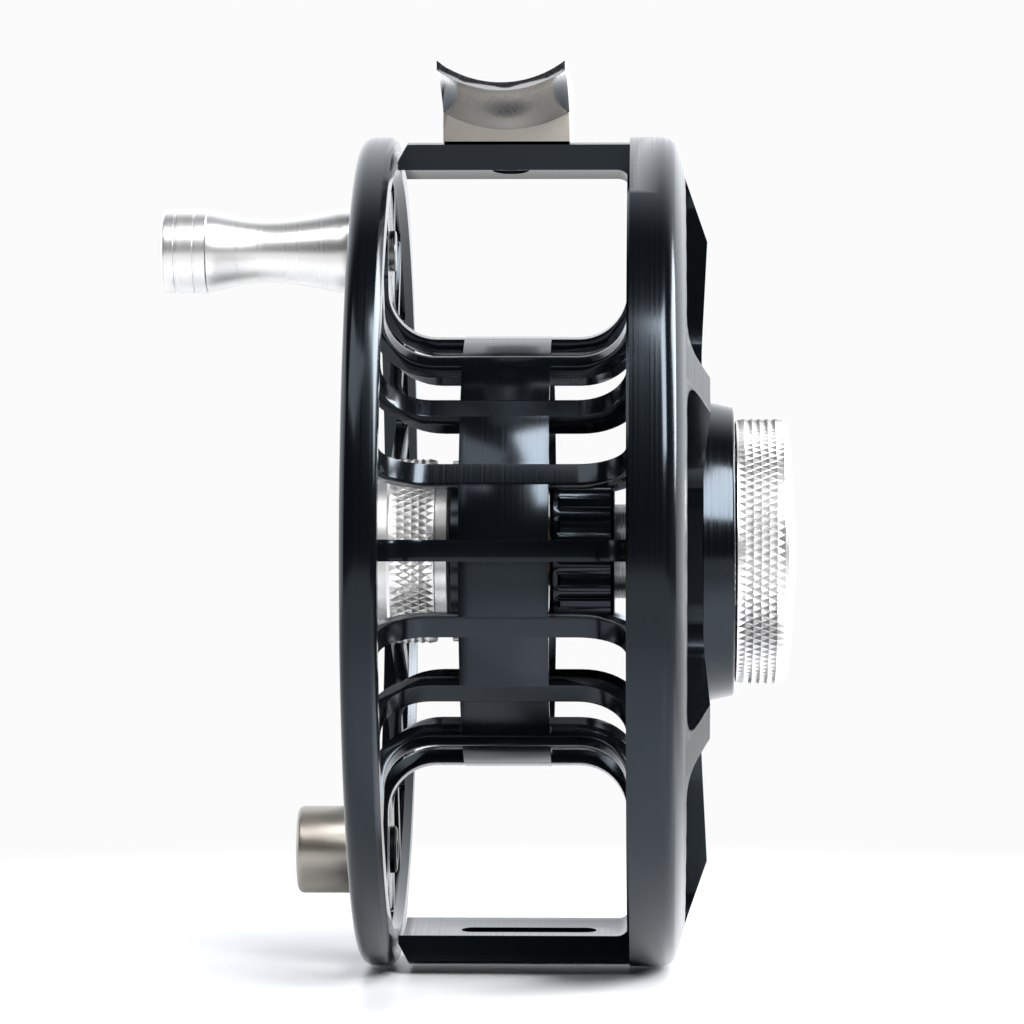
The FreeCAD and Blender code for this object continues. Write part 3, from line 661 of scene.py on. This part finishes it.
def build_drag_knob():
    teeth, depth = 104, 0.36
    bm = bmesh.new()
    low, high = knurl_rows(bm, 26.0, 31.35, 15.2, teeth, depth)
    inside = [(31.75, 14.7), (32.0, 13.6), (32.05, 12.85), (30.5, 12.85), (30.5, 3.4), (29.5, 3.4), (29.5, 12.8),
              (25.9, 12.8), (25.9, 14.75)]
    close_round(bm, high, inside, low)
    stand_for(smooth(mesh_object("drag_knob_knurled", bm), 24), "drag_knob")


def build_knob_cap():
    """A shallow domed disc that closes the drag knob's end."""
    rise, r, top_x = 0.75, 12.8, 32.8
    ball = (r * r + rise * rise) / (2 * rise)
    dome = [(top_x - ball + math.sqrt(ball * ball - q * q), q) for q in (0, 2, 4, 6, 8, 10, 11.6)]
    profile = [(31.6, 0), (31.6, 5.2), (30.5, 5.2), (30.5, r), (31.9, r), (32.1, r - 0.25)] + dome[::-1]
    stand_for(smooth(lathe("knob_cap_dome", profile, segments=ROUND)), "knob_cap")


def build_release_cap():
    teeth, depth = 76, 0.34
    bm = bmesh.new()
    low, high = knurl_rows(bm, -13.35, -8.3, 10.6, teeth, depth)
    around_end = [(-8.2, 9.9), (-6.9, 9.9), (-6.55, 9.5), (-6.55, 3.3), (-12.8, 3.3), (-12.8, 0), (-14.6, 0),
                  (-14.6, 7.4), (-14.9, 8.0), (-15.0, 8.3), (-15.0, 9.9), (-14.75, 10.15), (-13.7, 10.15),
                  (-13.5, 10.3)]
    close_round(bm, high, around_end, low)
    stand_for(smooth(mesh_object("release_cap_knurled", bm), 24), "release_cap")


# ---------------------------------------------------------------- drag side

def build_drag_housing():
    profile = [(17.0, 12.0), (17.0, 13.6), (21.97, 13.6), (21.97, 17.2), (22.15, 17.3), (25.3, 16.6)]
    profile += bend(25.35, 16.25, 0.35, 80, 10, 3)
    profile += [(25.7, 16.1), (25.7, 8.0), (28.8, 8.0), (28.8, 6.2), (25.7, 6.2), (25.7, 3.2), (23.4, 3.2),
                (23.4, 12.0)]
    stand_for(smooth(lathe("drag_housing_cup", profile, segments=ROUND)), "drag_housing")


def build_drag_hub():
    """The fluted hub: rounded ridges between round-bottomed flutes."""
    flutes, samples, fullness = 20, 16, 0.6
    steps = flutes * samples
    bm = bmesh.new()

    def ring(x, r, deep):
        points = []
        for i in range(steps):
            phase = 0.5 - 0.5 * math.cos(math.tau * i / samples)
            points.append(bm.verts.new(on_axis(x, r - deep * (1 - phase ** fullness), math.tau * i / steps)))
        return points

    stations = [(4.9, 8.0, 0), (4.9, 9.5, 0), (5.2, 9.8, 0), (5.7, 9.8, 0), (6.0, 9.8, 0.5), (11.7, 9.8, 0.5),
                (12.1, 9.4, 0.4), (12.1, 5.7, 0), (11.6, 5.7, 0), (11.6, 8.0, 0)]
    skin(bm, [ring(*s) for s in stations], close=True)
    hub = mesh_object("drag_hub_fluted", bm)
    dogs = bmesh.new()
    for middle in (math.pi / 2, -math.pi / 2):
        half = math.asin(DOG_WIDTH / 2 / 9.0)
        outline = [(8.3, middle - half), (9.45, middle - half), (9.5, middle), (9.45, middle + half),
                   (8.3, middle + half), (8.25, middle)]
        prism(dogs, outline, 3.0, 5.2)
    combine(hub, mesh_object("dogs", dogs), "UNION")
    stand_for(smooth(hub), "drag_hub")


# ---------------------------------------------------------------- handle and counterweight

def build_handle():
    """A waisted grip: two fine grooves at its end, a long hollow curve, and a collar at the spool."""
    left, right = handle_low.x / MM, handle_high.x / MM
    profile = [(left, 3.45), (left, 4.4)] + bend(left + 0.45, 4.4, 0.45, 180, 90, 4)[1:]
    for x in (left + 1.45, left + 3.65):
        profile += [(x - 0.14, 4.85), (x - 0.08, 4.62), (x + 0.08, 4.62), (x + 0.14, 4.85)]
    profile += [(left + 4.95, 4.85), (left + 5.1, 4.7)]
    waist_x, waist_r, collar_r, start_x, end_x = left + 11.9, 3.62, 4.8, left + 5.1, right - 2.3
    steps = 24
    for i in range(1, steps + 1):
        x = start_x + (end_x - start_x) * i / steps
        reach = (x - waist_x) / ((start_x if x < waist_x else end_x) - waist_x)
        profile.append((x, waist_r + (collar_r - waist_r) * reach ** 2 * (1.6 - 0.6 * reach)))
    profile += [(right - 0.4, collar_r), (right - 0.1, 4.65), (right, 4.4), (right, 2.85), (right - 3.85, 2.85),
                (right - 3.85, 2.2), (-33.5, 2.2), (-33.5, 2.85), (-37.6, 2.85), (-37.6, 3.4), (left + 0.1, 3.4)]
    stand_for(smooth(lathe("handle_grip", profile, HANDLE_Z)), "handle_knob", HANDLE_METAL)


def build_counterweight():
    left, right = weight_low.x / MM, weight_high.x / MM
    profile = [(left, 0), (left, 4.25)] + bend(left + 0.75, 4.25, 0.75, 180, 90, 6)[1:]
    profile += [(right - 0.35, 5.0), (right, 4.8), (right, 1.5), (-21.0, 1.5), (-21.0, 0)]
    stand_for(smooth(lathe("counterweight_stud", profile, WEIGHT_Z)), "counterweight")


# ---------------------------------------------------------------- reel foot

TROUGH_R = 11.4
SEAT_Z = 51.6             # from the axle up to the bottom of the trough
FOOT_HALF_LENGTH = 31.75
PEDESTAL = (14.2, 23.0, 3.2)
PEDESTAL_Z = 48.0


def foot_ring(y, half_width, low_mid, low_side):
    """One cross-section of the trough: the seat's arc and the belly, meeting at two side edges."""
    steps = 24
    points = []
    for i in range(steps + 1):
        x = half_width * (2 * i / steps - 1)
        points.append((x, y, SEAT_Z + TROUGH_R - math.sqrt(TROUGH_R ** 2 - x * x)))
    drop = low_side - low_mid
    belly_r = (half_width ** 2 + drop ** 2) / (2 * drop)
    for i in range(steps + 1):
        x = half_width * (1 - 2 * i / steps)
        points.append((x, y, low_mid + belly_r - math.sqrt(belly_r ** 2 - x * x)))
    return points


def build_foot():
    """The foot, lofted through its cross-sections, on a straight-sided pedestal."""
    sweep_start, steps = 10.5, 24
    stations = []
    for i in range(steps + 1):
        t = i / steps
        y = sweep_start + (FOOT_HALF_LENGTH - sweep_start) * t
        rise = 1 - (1 - t) ** 2.2
        stations.append((y, 7.1 - 0.15 * t, 47.4 + 3.35 * rise, 49.3 + 3.6 * rise))
    sections = [(-y, w, a, b) for y, w, a, b in stations[::-1]] + stations
    bm = bmesh.new()
    capped_skin(bm, [[bm.verts.new((x * MM, y * MM, AXLE_Z + z * MM)) for x, y, z in foot_ring(*s)]
                     for s in sections])
    foot = mesh_object("reel_foot_polished", bm)
    combine(foot, cuboid("pedestal", (0, 0, PEDESTAL_Z), PEDESTAL), "UNION")
    break_edges(foot, 0.22, 30)
    stand_for(foot, "reel_foot")
    foot.data.materials.append(milled_foot_steel("milled_foot_steel"))
    pedestal_top = AXLE_Z + (PEDESTAL_Z + PEDESTAL[2] / 2) * MM
    for face in foot.data.polygons:
        if abs(face.normal.y) > 0.95 and face.center.z < pedestal_top:
            face.material_index = 1


# ---------------------------------------------------------------- stage

def area_light(name, where, width, height, power):
    """A white soft box that faces the axle's middle. Its place is in metres from there, its power in watts."""
    data = bpy.data.lights.new(name, "AREA")
    data.shape = "RECTANGLE"
    data.size = width
    data.size_y = height
    data.energy = power
    lamp = bpy.data.objects.new(name, data)
    bpy.context.scene.collection.objects.link(lamp)
    lamp.location = Vector(where) + Vector((0, 0, AXLE_Z))
    lamp.rotation_euler = (-Vector(where)).to_track_quat("-Z", "Y").to_euler()


STAGE_WHITE = "#fbfbfb"


def smooth_range(tree, socket, start, end, low=0.0, high=1.0):
    """An S-shaped change from low to high while the value goes from start to end."""
    sweep = add(tree, "ShaderNodeMapRange", {0: socket}, interpolation_type="SMOOTHSTEP")
    sweep.inputs["From Min"].default_value = start
    sweep.inputs["From Max"].default_value = end
    sweep.inputs["To Min"].default_value = low
    sweep.inputs["To Max"].default_value = high
    return sweep


def white_table(name):
    """White laminate with a faint sheen, fading into the plain white of the background away from the reel."""
    mat, tree, shader = new_material(name)
    shader.inputs["Base Color"].default_value = linear("#dcdddf")
    shader.inputs["Roughness"].default_value = 0.3
    shader.inputs["Specular IOR Level"].default_value = 0.25
    coords = add(tree, "ShaderNodeTexCoord")
    away = add(tree, "ShaderNodeVectorMath", {0: coords.outputs["Object"]}, operation="LENGTH")
    fade = smooth_range(tree, away.outputs["Value"], 0.05, 0.17)
    glow = add(tree, "ShaderNodeEmission")
    glow.inputs["Color"].default_value = linear(STAGE_WHITE)
    mix = add(tree, "ShaderNodeMixShader", {0: fade.outputs[0], 1: shader.outputs[0], 2: glow.outputs[0]})
    tree.links.new(mix.outputs[0], tree.nodes["Material Output"].inputs[0])
    return mat


def build_floor():
    half_width, half_depth, gap = 0.42, 0.85, 0.0002
    bm = bmesh.new()
    bmesh.ops.create_circle(bm, cap_ends=True, radius=1.0, segments=96)
    for v in bm.verts:
        v.co = Vector((v.co.x * half_width, v.co.y * half_depth, 0.0))
    floor = mesh_object("floor", bm)
    floor.location.z = cad_low[2] - gap
    floor.data.materials.append(white_table("white_table"))


def build_studio():
    """Seen directly, the background is white. Reflected, it is bright behind the reel and dark in front of it,
    with two soft boxes on each side."""
    world = bpy.data.worlds.new("studio")
    bpy.context.scene.world = world
    world.use_nodes = True
    tree = world.node_tree
    seen = add(tree, "ShaderNodeLightPath")
    back = tree.nodes["Background"]
    back.inputs["Color"].default_value = linear("#f2f6fa")
    towards = add(tree, "ShaderNodeTexCoord")
    parts = add(tree, "ShaderNodeSeparateXYZ", {0: towards.outputs["Generated"]})
    sweep = smooth_range(tree, parts.outputs["Y"], 0.1, 0.75, 0.035, 1.55)
    tree.links.new(sweep.outputs[0], back.inputs["Strength"])
    white = add(tree, "ShaderNodeBackground")
    white.inputs["Color"].default_value = linear(STAGE_WHITE)
    mix = add(tree, "ShaderNodeMixShader", {0: seen.outputs["Is Camera Ray"], 1: back.outputs[0],
                                            2: white.outputs[0]})
    tree.links.new(mix.outputs[0], tree.nodes["World Output"].inputs[0])
    area_light("right_key", (0.27, -0.54, 0.62), 0.28, 0.65, 12.0)
    area_light("right_side", (0.6, 0.12, 0.3), 0.34, 0.42, 9.0)
    area_light("left_panel", (-0.36, -0.5, 0.66), 0.7, 0.4, 2.4)
    area_light("left_side", (-0.8, 0.15, 0.1), 0.5, 0.6, 1.5)
    bpy.context.scene.view_settings.view_transform = "Standard"


build_frame()
build_spool()
build_drag_knob()
build_knob_cap()
build_release_cap()
build_drag_housing()
build_drag_hub()
build_handle()
build_counterweight()
build_foot()
build_floor()
build_studio()
